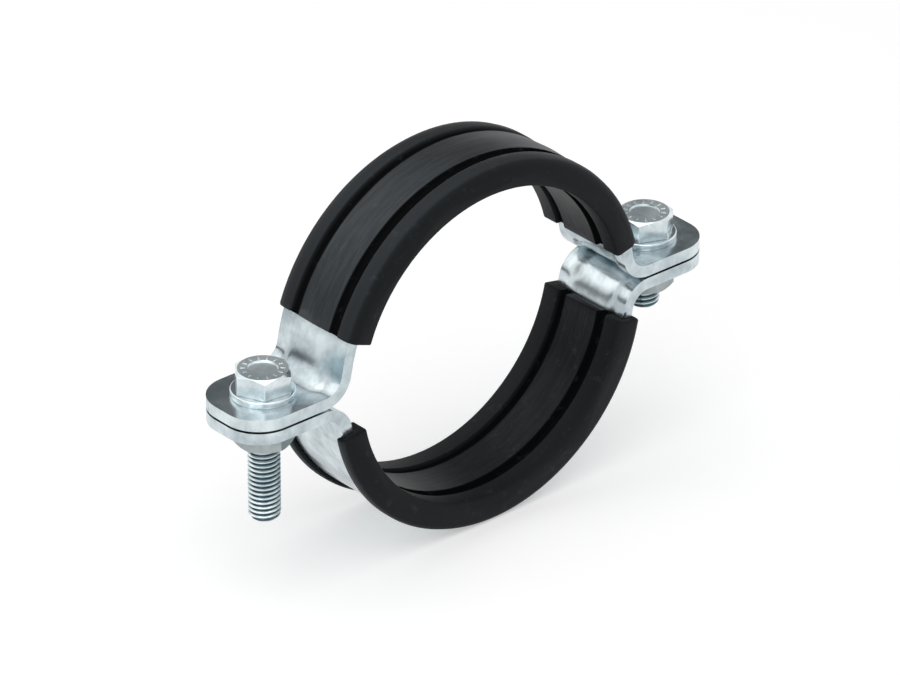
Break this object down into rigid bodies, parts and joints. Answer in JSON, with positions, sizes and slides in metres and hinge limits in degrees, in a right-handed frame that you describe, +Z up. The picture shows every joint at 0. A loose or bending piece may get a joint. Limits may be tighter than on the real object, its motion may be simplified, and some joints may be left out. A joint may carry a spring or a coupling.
{
  "type": "rubber lined pipe clamp",
  "caption": "Two-half pipe clamp in zinc plated strip steel with a black rubber lining, closed by a long and a short hex bolt through its ears.",
  "frame": {"origin": "centre of the pipe seat, halfway along its width, in the plane where the two halves meet", "axes": "+X through the ears towards the short bolt, +Y along the pipe, +Z up the bolts towards their heads"},
  "size_m": [0.147, 0.028, 0.0965],
  "materials": {
    "strip_steel": "bright zinc plated, satin",
    "bolt_steel": "bright zinc plated",
    "lining_rubber": "black extruded rubber, satin"
  },
  "bodies": {
    "lower_half": {"lower_strap": "strip_steel", "lower_lining": "lining_rubber", "long_bolt_nut": "bolt_steel", "short_bolt_nut": "bolt_steel"},
    "upper_half": {"upper_strap": "strip_steel", "upper_lining": "lining_rubber", "long_bolt_washer": "bolt_steel", "short_bolt_washer": "bolt_steel"},
    "long_bolt": {"long_bolt": "bolt_steel"},
    "short_bolt": {"short_bolt": "bolt_steel"}
  },
  "joints": [
    {"name": "upper_half_lift", "type": "slide", "parent": "lower_half", "child": "upper_half", "axis": [0, 0, 1], "range_m": [0, 0.01125]},
    {"name": "long_bolt_turn", "type": "hinge", "parent": "upper_half", "child": "long_bolt", "pos_m": [-0.0607, 0, 0.008], "axis": [0, 0, 1], "range_deg": [0, 3241]},
    {"name": "short_bolt_turn", "type": "hinge", "parent": "upper_half", "child": "short_bolt", "pos_m": [0.0607, 0, 0.008], "axis": [0, 0, 1], "range_deg": [0, 3241]}
  ],
  "couplings": [
    {"joint": "long_bolt_turn", "follows": "upper_half_lift", "rad_per_m": 5026.5},
    {"joint": "short_bolt_turn", "follows": "upper_half_lift", "rad_per_m": 5026.5}
  ]
}
